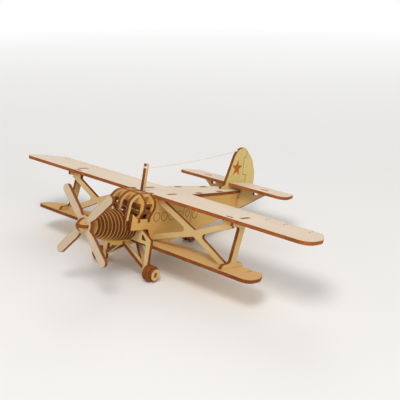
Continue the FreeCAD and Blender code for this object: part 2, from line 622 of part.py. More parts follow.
def gear_brace():
    """Port brace: a sloping V plate from the foot of the leg to the keel."""
    foot = V(LEG_IN, AXLE_Y, AXLE_Z + 1.6)
    along = V(HALF, AXLE_Y, KEEL_RAIL_Z + 0.3).sub(foot)
    length = along.Length
    along.normalize()
    across = V(0, 1, 0)
    upward = across.cross(along)
    plate = None
    for reach in (BRACE_FRONT_Y, BRACE_REAR_Y):
        arm = V(length, reach - AXLE_Y, 0)
        arm.normalize()
        side = V(-arm.y, arm.x, 0) * (BRACE_W / 2)
        start = arm * -2.5
        end = arm * (length * 1.5)
        outline = [(p.x, p.y) for p in (start.sub(side), end.sub(side), end.add(side), start.add(side))]
        strip = sheet(outline, lambda a, b, c: along * a + across * b + upward * c, 0)
        plate = strip if plate is None else plate.fuse(strip)
    plate.translate(foot)
    room = block(HALF + SLOT_PLAY, LEG_IN - SLOT_PLAY, 0, TAIL_Y, AXLE_Z - 5, LOWER_BOTTOM_Z - SLOT_PLAY)
    return plate.common(room).removeSplitter()


def wheel_disc(inner_x, radius, bore):
    wheel = disc(radius, V(inner_x, AXLE_Y, AXLE_Z), V(1, 0, 0))
    return wheel.cut(disc(bore, V(inner_x - 1, AXLE_Y, AXLE_Z), V(1, 0, 0), PLY + 2))


def stub_bore(width, height):
    """Round bore that lets a wheel turn on a rectangular stub."""
    return math.hypot(width, height) / 2 + RUN_PLAY


def wheel_retainer():
    """Small outer disc with a rectangular hole, pressed on the end of the stub."""
    plate = disc(RETAINER_R, V(RETAINER_X, AXLE_Y, AXLE_Z), V(1, 0, 0))
    return plate.cut(slot(RETAINER_X - 1, STUB_END_X + 1, AXLE_Y - HALF, AXLE_Y + HALF,
                          AXLE_Z - STUB_H / 2, AXLE_Z + STUB_H / 2, "yz"))


def tail_wheel():
    inner = TAIL_LEG_HALF + END_PLAY
    centre_z = TAIL_AXLE_Z
    wheel = disc(TAIL_WHEEL_R, V(inner, TAIL_AXLE_Y, centre_z), V(1, 0, 0))
    bore = stub_bore(PLY, PLY)
    return wheel.cut(disc(bore, V(inner - 1, TAIL_AXLE_Y, centre_z), V(1, 0, 0), PLY + 2))


# ---------------------------------------------------------------- tail
def fin():
    """Fin and rudder in one plate, notched from behind for the stabiliser."""
    outline = [
        (FIN_BASE_Y, WING_TOP_Z), (FIN_BASE_Y, WING_TOP_Z + 2.1, 1.0),
        (FIN_BASE_Y + 4.4, WING_TOP_Z + 2.6, 2.5), (FIN_BASE_Y + 14.4, FIN_TOP_Z, 12.0),
        (RUDDER_Y - 20.8, FIN_TOP_Z, 5.0), (RUDDER_Y - 8.4, FIN_TOP_Z - 9.4, 18.0),
        (RUDDER_Y - 1.6, STAB_TOP_Z + 9.0, 18.0), (RUDDER_Y, STAB_BOTTOM_Z - 0.6, 1.5),
        (TAIL_Y + PLY, STAB_BOTTOM_Z - 0.6, 1.0), (TAIL_Y + PLY, WING_TOP_Z),
    ]
    plate = sheet(outline, to_yz, -HALF)
    for first, last in FIN_TABS:
        plate = plate.fuse(block(-HALF, HALF, first, last, ROOF_Z, WING_TOP_Z))
    plate = plate.cut(slot(-HALF, HALF, STAB_LAP_Y, STAB_Y + STAB_CHORD,
                           STAB_BOTTOM_Z, STAB_TOP_Z, "yz"))
    return plate.removeSplitter()


def stabiliser():
    half = STAB_SPAN / 2
    rear = STAB_Y + STAB_CHORD
    outline = [(0, STAB_Y), (half, STAB_Y, 6.0), (half, STAB_Y + 9.0, 14.0),
               (half - 5.0, rear, 5.0), (0, rear)]
    plate = sheet(mirrored(outline), to_xy, STAB_BOTTOM_Z)
    for side in (-1, 1):
        plate = plate.cut(slot(side * BRACE_TAB[0], side * BRACE_TAB[1], BRACE_Y, BRACE_Y + PLY,
                               STAB_BOTTOM_Z, STAB_TOP_Z, "xy"))
    return plate.cut(slot(-HALF, HALF, STAB_Y - 1, STAB_LAP_Y, STAB_BOTTOM_Z, STAB_TOP_Z, "xy"))


def tail_brace():
    """Spanwise V plate that props the stabiliser from the tail of the fuselage."""
    deck_edge = body_half(BRACE_Y) + DECK_LIP + 0.4
    half = [(0, BRACE_LOW_Z), (body_half(BRACE_Y) + 3.6, BRACE_LOW_Z, 1.5),
            (BRACE_TAB[1] + 0.5, STAB_BOTTOM_Z), (BRACE_TAB[0] - 1.0, STAB_BOTTOM_Z),
            (BRACE_TAB[0] - 2.6, STAB_BOTTOM_Z - 4.0, 0.8), (BRACE_TAB[0] - 6.6, STAB_BOTTOM_Z - 4.0, 0.8),
            (BRACE_TAB[0] - 6.6, STAB_BOTTOM_Z), (deck_edge, STAB_BOTTOM_Z), (deck_edge, BRACE_HIGH_Z, 1.0),
            (0, BRACE_HIGH_Z)]
    plate = sheet(mirrored(half), to_xz, BRACE_Y)
    for side in (-1, 1):
        plate = plate.fuse(block(side * BRACE_TAB[0], side * BRACE_TAB[1], BRACE_Y, BRACE_Y + PLY,
                                 STAB_BOTTOM_Z, STAB_TOP_Z))
    return plate.removeSplitter()


# ---------------------------------------------------------------- aerial
def antenna_mast():
    """Stick behind the rear canopy frame, let into both canopy shelves."""
    return block(-HALF, HALF, MAST_Y, MAST_Y + MAST_W, SHELF_ZS[0], MAST_TOP_Z)


def thread_route():
    """Points of the thread on a shallow sag from the mast to the fin, the end runs shorter."""
    near = V(0, MAST_Y + MAST_W, MAST_TOP_Z - THREAD_DROP)
    far = V(0, FIN_BASE_Y + 17.0, FIN_TOP_Z - 2.6)
    whole = THREAD_RUNS - 2 + 2 * THREAD_END_RUN
    shares = [0] + [(THREAD_END_RUN + k) / whole for k in range(THREAD_RUNS - 1)] + [1]
    hang = V(0, 0, -4 * THREAD_SAG)
    return [near + (far - near) * share + hang * (share * (1 - share)) for share in shares]


def thread_path(points):
    """Straight runs joined by arcs, each as large as its two runs allow."""
    edges = []
    radii = []
    start = points[0]
    for before, here, after in zip(points, points[1:], points[2:]):
        back = before.sub(here)
        ahead = after.sub(here)
        turn = math.pi - back.getAngle(ahead)
        tangent = 0.45 * min(back.Length, ahead.Length)
        radius = tangent / math.tan(turn / 2)
        radii.append(radius)
        back.normalize()
        ahead.normalize()
        first = here.add(back * tangent)
        last = here.add(ahead * tangent)
        inward = back.add(ahead)
        inward.normalize()
        depth = radius / math.cos(turn / 2) - radius
        edges.append(Part.LineSegment(start, first).toShape())
        edges.append(Part.Arc(first, here.add(inward * depth), last).toShape())
        start = last
    edges.append(Part.LineSegment(start, points[-1]).toShape())
    return Part.Wire(edges), radii


def antenna_thread(mast, plate):
    """Thread tied from the mast to the leading edge of the fin."""
    points = thread_route()
    path, radii = thread_path(points)
    heading = points[1].sub(points[0])
    ring = Part.Wire(Part.makeCircle(THREAD_D / 2, points[0], heading))
    thread = path.makePipeShell([ring], True, False)
    print("thread length", round(path.Length, 2), "volume", round(thread.Volume, 3),
          "section x length", round(math.pi * THREAD_D ** 2 / 4 * path.Length, 3))
    print("thread radii", [round(r, 1) for r in radii])
    print("thread route", [(round(p.y, 3), round(p.z, 3)) for p in points])
    return thread.cut(mast).cut(plate)


# ---------------------------------------------------------------- placing
def ground_pitch():
    """Nose-up angle at which the main wheels and the tail wheels touch the ground."""
    along = TAIL_AXLE_Y - AXLE_Y
    drop = AXLE_Z - TAIL_AXLE_Z
    return math.asin((WHEEL_R - TAIL_WHEEL_R) / math.hypot(along, drop)) - math.atan2(drop, along)


def build():
    """All the pieces, level, by name."""
    pieces = {}
    plate = side_plate()
    plate = plate.cut(slot(0, BODY_HALF * 2, BRACE_Y, BRACE_Y + PLY, BRACE_LOW_Z, BRACE_HIGH_Z, "yz"))
    pieces["side_plate_port"] = plate
    pieces["side_plate_starboard"] = flip(plate)
    pieces["top_deck"] = top_deck()
    pieces["belly_plate"] = belly_plate()
    for name, y in zip(("cabin_former", "wing_former", "rear_former"), FORMER_YS):
        pieces[name] = former(y)
    pieces["tail_leg_former"] = former(TAIL_WHEEL_Y, leg=True)
    pieces["engine_keel"] = engine_keel()
    for k in range(RING_COUNT):
        pieces["cowl_ring_%02d" % (k + 1)] = cowl_ring(k)
    pieces["propeller"] = propeller()
    pieces["spinner_vertical"] = spinner_vertical()
    pieces["spinner_horizontal"] = spinner_horizontal()
    pieces["hub_spacer"] = hub_spacer()
    pieces["propeller_shaft"] = propeller_shaft()
    pieces["shaft_collar"] = shaft_collar()
    pieces["canopy_frame_front"] = canopy_frame(CANOPY_YS[0])
    pieces["canopy_frame_rear"] = canopy_frame(CANOPY_YS[1])
    pieces["canopy_shelf_lower"] = canopy_shelf(SHELF_ZS[0], CABIN_Y - 0.6)
    pieces["canopy_shelf_upper"] = canopy_shelf(SHELF_ZS[1], MAST_Y + MAST_W + 1.2)
    for name, x in RIB_XS.items():
        pieces["windscreen_rib_" + name] = windscreen_rib(x)
    pieces["upper_wing"] = upper_wing()
    pieces["lower_wing"] = lower_wing()
    for name, make in (("wing_strut", wing_strut), ("wing_truss", wing_truss), ("gear_brace", gear_brace)):
        pieces[name + "_port"] = make()
        pieces[name + "_starboard"] = flip(pieces[name + "_port"])
    pieces["gear_frame"] = gear_frame()
    bore = stub_bore(PLY, STUB_H)
    pieces["main_wheel_port_inner"] = wheel_disc(WHEEL_X, WHEEL_R, bore)
    pieces["main_wheel_port_outer"] = wheel_disc(WHEEL_X + PLY, WHEEL_R, bore)
    pieces["wheel_retainer_port"] = wheel_retainer()
    pieces["tail_wheel_port"] = tail_wheel()
    for name in ("main_wheel_port_inner", "main_wheel_port_outer", "wheel_retainer_port", "tail_wheel_port"):
        pieces[name.replace("port", "starboard")] = flip(pieces[name])
    pieces["fin"] = fin()
    pieces["stabiliser"] = stabiliser()
    pieces["tail_brace"] = tail_brace()
    pieces["antenna_mast"] = antenna_mast()
    pieces["antenna_thread"] = antenna_thread(pieces["antenna_mast"], pieces["fin"])
    return pieces


def stand_on_wheels(pieces):
    """Tip the model nose up onto its wheels and centre it over the origin."""
    pitch = math.degrees(ground_pitch())
    tipped = {}
    box = FreeCAD.BoundBox()
    for name, shape in pieces.items():
        turned = shape.copy()
        turned.rotate(V(0, 0, 0), V(1, 0, 0), -pitch)
        tipped[name] = turned
        if name != "antenna_thread":
            box.add(turned.optimalBoundingBox(False))
    shift = V(0, -(box.YMin + box.YMax) / 2, -box.ZMin)
    for shape in tipped.values():
        shape.translate(shift)
    print("pitch", repr(pitch), "shift", repr(shift.y), repr(shift.z))
    print("box", [round(v, 3) for v in (box.XLength, box.YLength, box.ZLength)])
    return tipped


def main():
    os.makedirs("parts", exist_ok=True)
    for name, shape in stand_on_wheels(build()).items():
        if not shape.isValid() or len(shape.Solids) != 1:
            print("check", name, "valid", shape.isValid(), "solids", len(shape.Solids))
        solid = shape.Solids[0] if len(shape.Solids) == 1 else Part.makeCompound(shape.Solids)
        solid.exportStep("parts/" + name + ".step")


main()
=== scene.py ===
import json
import math
import bpy
from mathutils import Matrix, Vector


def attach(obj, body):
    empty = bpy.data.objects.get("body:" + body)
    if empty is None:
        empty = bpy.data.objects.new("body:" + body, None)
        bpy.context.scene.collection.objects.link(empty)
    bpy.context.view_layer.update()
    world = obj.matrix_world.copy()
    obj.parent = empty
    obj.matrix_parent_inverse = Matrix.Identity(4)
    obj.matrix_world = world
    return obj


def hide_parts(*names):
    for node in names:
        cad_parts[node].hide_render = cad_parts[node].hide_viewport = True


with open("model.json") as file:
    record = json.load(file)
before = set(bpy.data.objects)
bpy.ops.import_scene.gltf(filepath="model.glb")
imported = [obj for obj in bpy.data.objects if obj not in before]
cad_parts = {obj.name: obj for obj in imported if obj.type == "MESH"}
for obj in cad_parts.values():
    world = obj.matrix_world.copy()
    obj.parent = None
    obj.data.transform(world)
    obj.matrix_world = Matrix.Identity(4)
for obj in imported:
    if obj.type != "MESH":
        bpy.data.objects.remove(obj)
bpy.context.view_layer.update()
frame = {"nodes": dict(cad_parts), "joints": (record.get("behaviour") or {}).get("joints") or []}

MM = 0.001

# ---------------------------------------------------------------- level axes
# The plates are described in the level axes of the aircraft, in millimetres:
# x to port, y aft from the front of the propeller, z up from its axis.
SPIN = [j for j in frame["joints"] if j["name"] == "propeller_spin"][0]
PORT = Vector((1, 0, 0))
AFT = Vector(SPIN["axis"])
UP = PORT.cross(AFT)
PITCH = math.atan2(-AFT.z, AFT.y)
PLY = 2.5
NOSE = Vector(SPIN["pos_m"]) - AFT * (PLY / 2 * MM)


def place(x, y, z):
    return NOSE + (PORT * x + AFT * y + UP * z) * MM


# ---------------------------------------------------------------- camera
CAMERA_AIM = Vector((-0.0034853, 0.0093621, 0.0276077))
CAMERA_AZIMUTH, CAMERA_ELEVATION, CAMERA_ROLL = 41.785, 21.556, -0.361
CAMERA_DISTANCE = 0.5914
CAMERA_LENS, CAMERA_SENSOR = 66.01, 36.0
CAMERA_SHIFT = (0.0482, 0.0248)


def make_camera():
    az, el, roll = (math.radians(a) for a in (CAMERA_AZIMUTH, CAMERA_ELEVATION, CAMERA_ROLL))
    back = Vector((math.sin(az) * math.cos(el), -math.cos(az) * math.cos(el), math.sin(el)))
    side = Vector((math.cos(az), math.sin(az), 0))
    top = back.cross(side)
    right = side * math.cos(roll) + top * math.sin(roll)
    top = back.cross(right)
    data = bpy.data.cameras.new("camera")
    data.lens = CAMERA_LENS
    data.sensor_width = CAMERA_SENSOR
    data.shift_x, data.shift_y = CAMERA_SHIFT
    data.clip_start = 0.01
    cam = bpy.data.objects.new("camera", data)
    basis = Matrix((right, top, back)).transposed().to_4x4()
    cam.matrix_world = Matrix.Translation(CAMERA_AIM + back * CAMERA_DISTANCE) @ basis
    bpy.context.scene.collection.objects.link(cam)
    bpy.context.scene.camera = cam


make_camera()


# ---------------------------------------------------------------- mesh helpers
def link(name, mesh, material, body="airframe"):
    obj = bpy.data.objects.new(name, mesh)
    bpy.context.scene.collection.objects.link(obj)
    mesh.materials.clear()
    mesh.materials.append(material)
    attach(obj, body)
    return obj


def mesh_from(name, points, faces, smooth=True):
    mesh = bpy.data.meshes.new(name)
    mesh.from_pydata([tuple(p) for p in points], [], faces)
    mesh.validate()
    mesh.update()
    for poly in mesh.polygons:
        poly.use_smooth = smooth
    return mesh


def tube(path, radius, closed=False, sides=10):
    """Points and faces of a round tube along a path, with flat end caps."""
    count = len(path)
    points, faces = [], []
    carried = None
    for i, here in enumerate(path):
        after = path[(i + 1) % count] if closed or i + 1 < count else here
        before = path[i - 1] if closed or i > 0 else here
        heading = (after - before).normalized()
        if carried is None:
            carried = heading.orthogonal().normalized()
        carried = (carried - heading * carried.dot(heading)).normalized()
        other = heading.cross(carried)
        for k in range(sides):
            turn = 2 * math.pi * k / sides
            points.append(here + (carried * math.cos(turn) + other * math.sin(turn)) * radius)
    for i in range(count if closed else count - 1):
        j = (i + 1) % count
        for k in range(sides):
            m = (k + 1) % sides
            faces.append((i * sides + k, i * sides + m, j * sides + m, j * sides + k))
    if not closed:
        faces.append(tuple(reversed(range(sides))))
        faces.append(tuple((count - 1) * sides + k for k in range(sides)))
    return points, faces


def merge(parts):
    points, faces = [], []
    for some_points, some_faces in parts:
        start = len(points)
        points += some_points
        faces += [tuple(start + i for i in face) for face in some_faces]
    return points, faces


# ---------------------------------------------------------------- materials
def srgb(r, g, b):
    def linear(c):
        c /= 255.0
        return c / 12.92 if c <= 0.04045 else ((c + 0.055) / 1.055) ** 2.4
    return (linear(r), linear(g), linear(b), 1.0)


# faces of the plates
# the ply's own pale tone, lightened further by a painted sky reflection on the upward faces
PALE_PAINTED_SHEEN = srgb(224, 208, 188)
WARM = srgb(216, 188, 132)
# painted shade: a saturated tone worked out for faces in warm shade, used on the engine keel, cowl rings
# and canopy frames
GOLD_PAINTED_SHADE = srgb(222, 178, 96)
STRAW = srgb(218, 198, 128)
# painted shade: a deeper, warmer tone for the lower wing, standing in for the shade under the upper wing
# and its warm bounce
HONEY_PAINTED_SHADE = srgb(216, 176, 116)
# painted shade: a deeper, warmer tone that stands in for the shade and warm bounce on the fuselage sides
AMBER_PAINTED_SHADE = srgb(220, 178, 102)
CREAM = srgb(210, 191, 164)
# painted shade: a mid-brown for the faces of the wheel discs, standing in for the shade on them
TYRE_PAINTED_SHADE = srgb(146, 78, 36)
# cut edges, each as a clean and a burnt tone
SCORCH = srgb(174, 96, 36)
CHAR = srgb(70, 30, 8)
# painted light: lighter cut and burnt edge tones for the upper wing and stabiliser, whose edges stand in
# the light
TOAST_PAINTED_LIGHT = srgb(208, 120, 52)
EMBER_PAINTED_LIGHT = srgb(94, 44, 16)
# partly painted shade: the cowl rings' burnt edges, darkened further for the shade in the gaps between the
# stacked rings
RIM_PAINTED_SHADE = srgb(128, 66, 22)
SOOT_PAINTED_SHADE = srgb(52, 22, 6)


class Nodes:
    """Small helper that adds and joins shader nodes."""

    def __init__(self, name):
        self.material = bpy.data.materials.new(name)
        self.material.use_nodes = True
        self.tree = self.material.node_tree
        self.shader = self.tree.nodes["Principled BSDF"]

    def put(self, socket, value):
        if isinstance(value, bpy.types.NodeSocket):
            self.tree.links.new(value, socket)
        else:
            socket.default_value = value

    def add(self, kind, **inputs):
        node = self.tree.nodes.new(kind)
        for key, value in inputs.items():
            self.put(node.inputs[key.replace("_", " ")], value)
        return node

    def math(self, operation, a, b=0.0, clamp=False):
        node = self.tree.nodes.new("ShaderNodeMath")
        node.operation = operation
        node.use_clamp = clamp
        self.put(node.inputs[0], a)
        self.put(node.inputs[1], b)
        return node.outputs[0]

    def vector(self, operation, a, b, out="Vector"):
        node = self.tree.nodes.new("ShaderNodeVectorMath")
        node.operation = operation
        self.put(node.inputs[0], a)
        self.put(node.inputs[1], b)
        return node.outputs[out]

    def span(self, value, low, high, to_low=0.0, to_high=1.0):
        node = self.tree.nodes.new("ShaderNodeMapRange")
        for socket, v in zip(node.inputs[:5], (value, low, high, to_low, to_high)):
            self.put(socket, v)
        return node.outputs[0]

    def mix(self, factor, a, b, blend="MIX"):
        node = self.tree.nodes.new("ShaderNodeMix")
        node.data_type = "RGBA"
        node.blend_type = blend
        self.put(node.inputs[0], factor)
        self.put(node.inputs[6], a)
        self.put(node.inputs[7], b)
        return node.outputs[2]

    def noise(self, vector, scale, detail=4.0, rough=0.55, distortion=0.0):
        node = self.add("ShaderNodeTexNoise", Vector=vector, Scale=scale, Detail=detail,
                        Roughness=rough, Distortion=distortion)
        return node.outputs[0]

    def finish(self, colour, roughness, height, strength=0.35, distance=0.00012):
        bump = self.add("ShaderNodeBump", Strength=strength, Distance=distance, Height=height)
        self.put(self.shader.inputs["Base Color"], colour)
        self.put(self.shader.inputs["Roughness"], roughness)
        self.put(self.shader.inputs["Normal"], bump.outputs[0])
        return self.material


def to_level(n, vector):
    """The vector turned back to the level axes."""
    turn = n.add("ShaderNodeVectorRotate", Vector=vector, Angle=PITCH)
    turn.rotation_type = "X_AXIS"
    return turn.outputs[0]


def level_coordinates(n):
    """Object position and normal in the level axes."""
    tex = n.tree.nodes.new("ShaderNodeTexCoord")
    return [to_level(n, tex.outputs[output]) for output in ("Object", "Normal")]


def along(n, vector, direction):
    return n.vector("DOT_PRODUCT", vector, tuple(direction), "Value")


# along, across and through the sheet, in cycles per metre
BAND_SCALE = (9, 190, 260)
FIBRE_SCALE = (60, 2600, 900)
PORE_SCALE = (420, 6200, 900)
CLOUD_SCALE = (30, 45, 120)
DRIFT_SCALE = (500, 500, 500)
BURN_SCALE = (110, 110, 60)
STREAK_SCALE = (3200, 3200, 240)
LAYER = PLY / 2 * MM


def plywood(name, normal, grain, tone, seed, halo_width, cut, burnt):
    """Laser-cut birch ply: grained faces, burnt layered edges and a smoke halo beside each cut."""
    n = Nodes(name)
    where, facing = level_coordinates(n)
    normal, grain = Vector(normal).normalized(), Vector(grain).normalized()
    across = normal.cross(grain)
    u, v, w = (along(n, where, axis) for axis in (grain, across, normal))

    flatness = n.math("ABSOLUTE", along(n, facing, normal))
    face = n.span(flatness, 0.55, 0.8)

    def stretched(*scales):
        join = n.tree.nodes.new("ShaderNodeCombineXYZ")
        for socket, value, scale in zip(join.inputs, (u, v, w), scales):
            shifted = n.math("MULTIPLY_ADD", value, scale)
            shifted.node.inputs[2].default_value = seed
            n.put(socket, shifted)
        return join.outputs[0]

    # face: soft growth bands, fine fibres and short dark pores along the grain
    bands = n.noise(stretched(*BAND_SCALE), 1.0, 3.0, 0.5, 0.6)
    fibres = n.noise(stretched(*FIBRE_SCALE), 1.0, 5.0, 0.65)
    pores = n.span(n.noise(stretched(*PORE_SCALE), 1.0, 2.0, 0.5), 0.66, 0.74)
    clouds = n.noise(stretched(*CLOUD_SCALE), 1.0, 2.0, 0.5)
    light = tuple(min(c * 1.06, 1.0) for c in tone[:3]) + (1.0,)
    deep = (tone[0] * 0.80, tone[1] * 0.70, tone[2] * 0.56, 1.0)
    colour = n.mix(n.span(bands, 0.35, 0.68), light, tone)
    colour = n.mix(n.span(fibres, 0.42, 0.75, 0.0, 0.55), colour, deep)
    colour = n.mix(n.math("MULTIPLY", pores, 0.5), colour, tuple(c * 0.5 for c in deep[:3]) + (1.0,))
    colour = n.mix(n.span(clouds, 0.3, 0.7, 0.0, 0.22), colour, deep)

    # smoke halo where the face meets a cut
    bevel = n.add("ShaderNodeBevel", Radius=halo_width)
    bevel.samples = 6
    near = n.math("ABSOLUTE", along(n, to_level(n, bevel.outputs[0]), normal))
    halo = n.span(near, 0.997, 0.86)
    drift = n.noise(stretched(*DRIFT_SCALE), 1.0, 2.0)
    smoke = n.math("MULTIPLY", halo, n.span(drift, 0.3, 0.7, 0.45, 0.95))
    colour = n.mix(smoke, colour, SCORCH)

    # edge: layered plies, charred unevenly by the beam
    wave = n.math("SINE", n.math("MULTIPLY", w, math.pi / LAYER))
    plies = n.span(n.math("ABSOLUTE", wave), 0.25, 0.6)
    burn = n.noise(stretched(*BURN_SCALE), 1.0, 2.0, 0.5)
    streaks = n.noise(stretched(*STREAK_SCALE), 1.0, 3.0, 0.6)
    charring = n.math("ADD", n.span(burn, 0.3, 0.7, 0.08, 0.36), n.span(streaks, 0.35, 0.7, 0.0, 0.4), True)
    charring = n.math("ADD", charring, n.math("MULTIPLY", plies, 0.2), True)
    edge = n.mix(charring, cut, burnt)

    full = n.mix(face, edge, colour)
    height = n.math("ADD", n.math("MULTIPLY", fibres, 0.6), n.math("MULTIPLY", pores, -0.5))
    height = n.math("ADD", height, n.math("MULTIPLY", streaks, n.math("SUBTRACT", 0.8, face)))
    roughness = n.math("ADD", n.span(face, 0.0, 1.0, 0.78, 0.56), n.math("MULTIPLY", fibres, 0.12))
    n.shader.inputs["Specular IOR Level"].default_value = 0.25
    return n.finish(full, roughness, height)


def char_line():
    """Shallow burnt line drawn by the laser."""
    n = Nodes("engraved_line")
    where, _ = level_coordinates(n)
    patch = n.noise(where, 900.0, 3.0, 0.6)
    colour = n.mix(n.span(patch, 0.35, 0.7), srgb(152, 86, 20), srgb(94, 48, 8))
    return n.finish(colour, 0.85, patch)


RASTER_PITCH = 0.00028


def star_burn():
    """Evenly toasted area with raster lines."""
    n = Nodes("engraved_star")
    where, _ = level_coordinates(n)
    line = n.math("SINE", n.math("MULTIPLY", along(n, where, (0, 0, 1)), 2 * math.pi / RASTER_PITCH))
    patch = n.noise(where, 700.0, 3.0, 0.6)
    colour = n.mix(n.span(patch, 0.3, 0.7), srgb(212, 110, 16), srgb(174, 82, 10))
    colour = n.mix(n.span(line, -0.2, 1.0, 0.0, 0.35), colour, srgb(112, 52, 14))
    return n.finish(colour, 0.85, n.math("ADD", line, patch), 0.3)


def cotton(name):
    """Off-white twisted cotton."""
    n = Nodes(name)
    tex = n.tree.nodes.new("ShaderNodeTexCoord")
    fuzz = n.noise(tex.outputs["Object"], 5200.0, 3.0, 0.6)
    soft = n.noise(tex.outputs["Object"], 420.0, 2.0)
    colour = n.mix(n.span(fuzz, 0.3, 0.7), srgb(246, 243, 236), srgb(224, 218, 206))
    colour = n.mix(n.span(soft, 0.4, 0.7, 0.0, 0.3), colour, srgb(208, 200, 184))
    n.shader.inputs["Sheen Weight"].default_value = 0.3
    return n.finish(colour, 0.92, fuzz, 0.5)


# ---------------------------------------------------------------- plates
ACROSS, ALONG, UPRIGHT = (1, 0, 0), (0, 1, 0), (0, 0, 1)
HALO, RING_HALO = 0.00075, 0.00028
# width of the smoke halo, and the tones of the edge where it is cut clean and where it is burnt
EDGE = (HALO, SCORCH, CHAR)
SPECIAL_EDGES = {
    # the cowl rings' edges are darkened by painted shade as well as by their burn
    "cowl_ring": (RING_HALO, RIM_PAINTED_SHADE, SOOT_PAINTED_SHADE),
    # painted light: lighter edges on the lit upper wing and stabiliser
    "upper_wing": (HALO, TOAST_PAINTED_LIGHT, EMBER_PAINTED_LIGHT),
    "stabiliser": (HALO, TOAST_PAINTED_LIGHT, EMBER_PAINTED_LIGHT),
}
# normals of the sloping plates, and the line in which the blades' grain runs
BELLY = (0, -0.196, 0.981)
PORT_BRACE, STARBOARD_BRACE = (0.609, 0, 0.793), (-0.609, 0, 0.793)
BLADE_GRAIN = (0.68, 0, 0.73)
# name: plate normal, grain direction, tone, all in level axes
PLATES = {
    # the side plates carry painted shade in their tone
    "side_plate": (ACROSS, ALONG, AMBER_PAINTED_SHADE),
    # the top deck, upper wing and stabiliser carry a painted sky reflection in their pale tone
    "top_deck": (UPRIGHT, ALONG, PALE_PAINTED_SHEEN),
    "belly_plate": (BELLY, ALONG, WARM),
    "cabin_former": (ALONG, UPRIGHT, WARM),
    "wing_former": (ALONG, UPRIGHT, WARM),
    "rear_former": (ALONG, UPRIGHT, WARM),
    "tail_leg_former": (ALONG, UPRIGHT, WARM),
    # the engine keel and cowl rings carry painted shade in their tone
    "engine_keel": (ACROSS, ALONG, GOLD_PAINTED_SHADE),
    "cowl_ring": (ALONG, UPRIGHT, GOLD_PAINTED_SHADE),
    "propeller": (ALONG, BLADE_GRAIN, CREAM),
    "spinner_vertical": (ACROSS, UPRIGHT, WARM),
    "spinner_horizontal": (UPRIGHT, ACROSS, WARM),
    "hub_spacer": (ALONG, UPRIGHT, WARM),
    "shaft_collar": (ALONG, UPRIGHT, WARM),
    # the canopy frames carry painted shade in their tone
    "canopy_frame": (ALONG, UPRIGHT, GOLD_PAINTED_SHADE),
    "canopy_shelf": (UPRIGHT, ACROSS, WARM),
    "windscreen_rib": (ACROSS, ALONG, WARM),
    "upper_wing": (UPRIGHT, ACROSS, PALE_PAINTED_SHEEN),
    # the lower wing carries painted shade in its tone
    "lower_wing": (UPRIGHT, ACROSS, HONEY_PAINTED_SHADE),
    "wing_strut": (ACROSS, UPRIGHT, WARM),
    "wing_truss": (ALONG, ACROSS, WARM),
    "gear_frame": (ALONG, UPRIGHT, WARM),
    "gear_brace_port": (PORT_BRACE, ALONG, WARM),
    "gear_brace_starboard": (STARBOARD_BRACE, ALONG, WARM),
    # the main and tail wheels carry painted shade in their tone
    "main_wheel": (ACROSS, ALONG, TYRE_PAINTED_SHADE),
    "wheel_retainer": (ACROSS, ALONG, WARM),
    "tail_wheel": (ACROSS, ALONG, TYRE_PAINTED_SHADE),
    "fin": (ACROSS, UPRIGHT, STRAW),
    "stabiliser": (UPRIGHT, ACROSS, PALE_PAINTED_SHEEN),
    "tail_brace": (ALONG, ACROSS, WARM),
    "antenna_mast": (ACROSS, UPRIGHT, WARM),
    "propeller_shaft": (ALONG, UPRIGHT, WARM),
}
RUNNING_GAP = 0.00004
SEED_STEP = 3.17              # keeps the grain of one plate clear of the next


def finish_plates():
    """Give every plate its own cut of ply; the thread is no plate and is left out."""
    for seed, (name, obj) in enumerate(sorted(frame["nodes"].items())):
        kinds = [k for k in PLATES if name.startswith(k)]
        if not kinds:
            continue
        kind = max(kinds, key=len)
        normal, grain, tone = PLATES[kind]
        material = plywood("ply_" + name, normal, grain, tone, seed * SEED_STEP,
                           *SPECIAL_EDGES.get(kind, EDGE))
        obj.data.materials.clear()
        obj.data.materials.append(material)
    # the spacer turns against the front of the keel
    spacer = frame["nodes"]["hub_spacer"]
    spacer.modifiers.new("joined_faces", "WELD").merge_threshold = 1e-6
    gap = spacer.modifiers.new("running_gap", "DISPLACE")
    gap.mid_level = 0.0
    gap.strength = -RUNNING_GAP


finish_plates()

# ---------------------------------------------------------------- engraving
LINE_WIDTH = 0.5
LINE_RISE = 0.03
LINE = char_line()

# Plan of the fuselage sides, as the side plates have it.
BODY_HALF, TAIL_HALF, TAPER_Y, TAIL_Y = 13.0, 4.4, 82.0, 176.0
SWEEP = ((BODY_HALF - TAIL_HALF) ** 2 + (TAIL_Y - TAPER_Y) ** 2) / (2 * (BODY_HALF - TAIL_HALF))


def side_x(y):
    if y <= TAPER_Y:
        return BODY_HALF
    return BODY_HALF - SWEEP + math.sqrt(SWEEP ** 2 - (y - TAPER_Y) ** 2)


def ribbon(route, surface, closed, width=LINE_WIDTH):
    """Thin flat line along a route (a, b) lying on surface(a, b, rise)."""
    points, faces = [], []
    count = len(route)
    for i, (a, b) in enumerate(route):
        pa, pb = route[i - 1] if closed or i > 0 else route[i]
        na, nb = route[(i + 1) % count] if closed or i + 1 < count else route[i]
        da, db = na - pa, nb - pb
        size = math.hypot(da, db)
        oa, ob = -db / size * width / 2, da / size * width / 2
        for sign, rise in ((1, LINE_RISE), (-1, LINE_RISE), (-1, -LINE_RISE), (1, -LINE_RISE)):
            points.append(surface(a + oa * sign, b + ob * sign, rise))
    for i in range(count if closed else count - 1):
        j = (i + 1) % count
        for k in range(4):
            m = (k + 1) % 4
            faces.append((i * 4 + k, i * 4 + m, j * 4 + m, j * 4 + k))
    if not closed:
        faces.append((3, 2, 1, 0))
        faces.append(tuple((count - 1) * 4 + k for k in range(4)))
    return points, faces


def circle(a, b, radius, steps=40):
    return [(a + radius * math.cos(2 * math.pi * i / steps), b + radius * math.sin(2 * math.pi * i / steps))
            for i in range(steps)]


